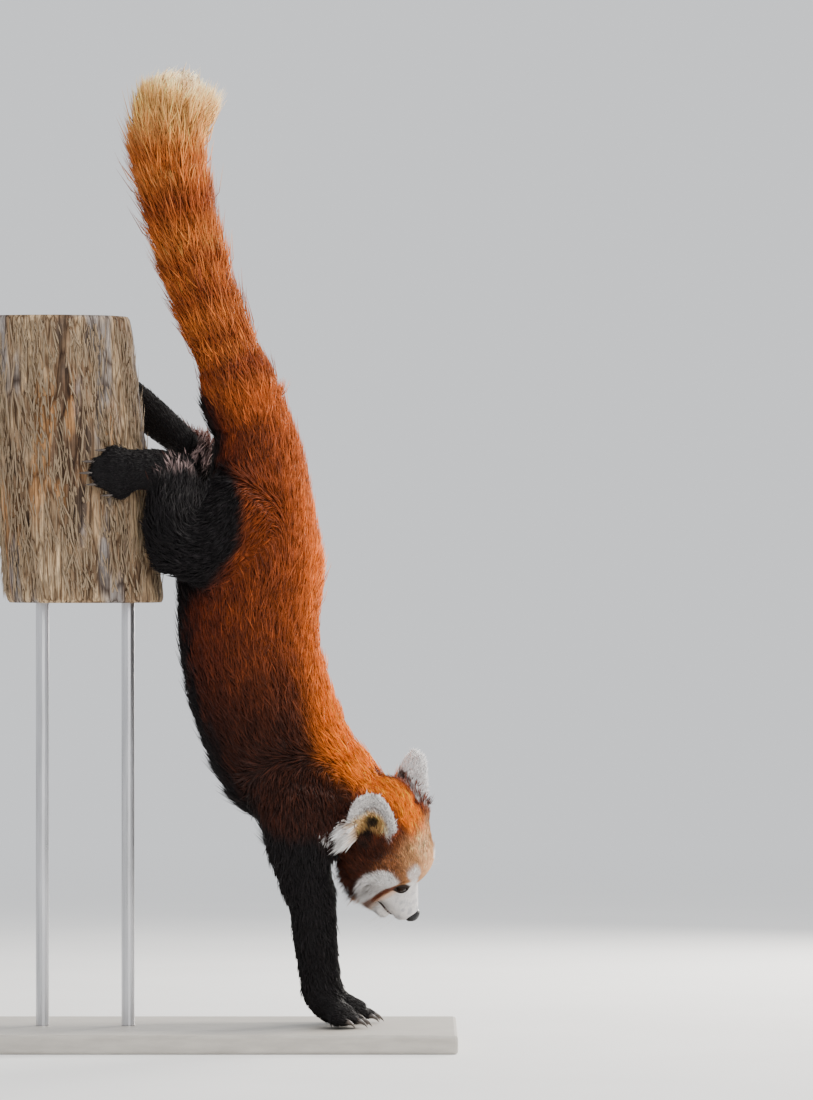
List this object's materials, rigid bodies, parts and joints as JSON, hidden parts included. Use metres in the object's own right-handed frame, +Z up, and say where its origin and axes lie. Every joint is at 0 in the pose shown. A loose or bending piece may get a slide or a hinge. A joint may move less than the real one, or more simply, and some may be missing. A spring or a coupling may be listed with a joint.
{
  "type": "red panda",
  "caption": "Life-size still model of a red panda climbing down a cut trunk head first, its tail raised, on a flat base with rods.",
  "frame": {"origin": "middle of the underside of the stand's base", "axes": "+Z up; +X is the side that the panda's back faces; -Y is the panda's right side"},
  "size_m": [0.54, 0.32, 1.0342],
  "materials": {
    "rust": "short dense coat, rust red",
    "black_fur": "short dense coat, black",
    "face": "short coat, tan and white",
    "ear": "short coat, white",
    "tail": "long coat, ringed orange",
    "eye": "glossy",
    "nose": "moist, pebbled",
    "bark": "fibrous bark",
    "base": "satin paint",
    "rod": "brushed"
  },
  "bodies": {
    "root": {"head": "face", "nose": "nose", "neck": "rust", "chest": "rust", "belly": "rust", "rump": "rust", "tail": "tail", "perch_trunk": "bark", "stand_base": "base", "stand_rod_back": "rod", "stand_rod_front": "rod", "ear_right": "ear", "eye_right": "eye", "thigh_right": "black_fur", "shank_right": "black_fur", "foot_right": "black_fur", "upper_arm_right": "black_fur", "forearm_right": "black_fur", "hand_right": "black_fur", "ear_left": "ear", "eye_left": "eye", "thigh_left": "black_fur", "shank_left": "black_fur", "foot_left": "black_fur", "upper_arm_left": "black_fur", "forearm_left": "black_fur", "hand_left": "black_fur"}
  },
  "joints": []
}
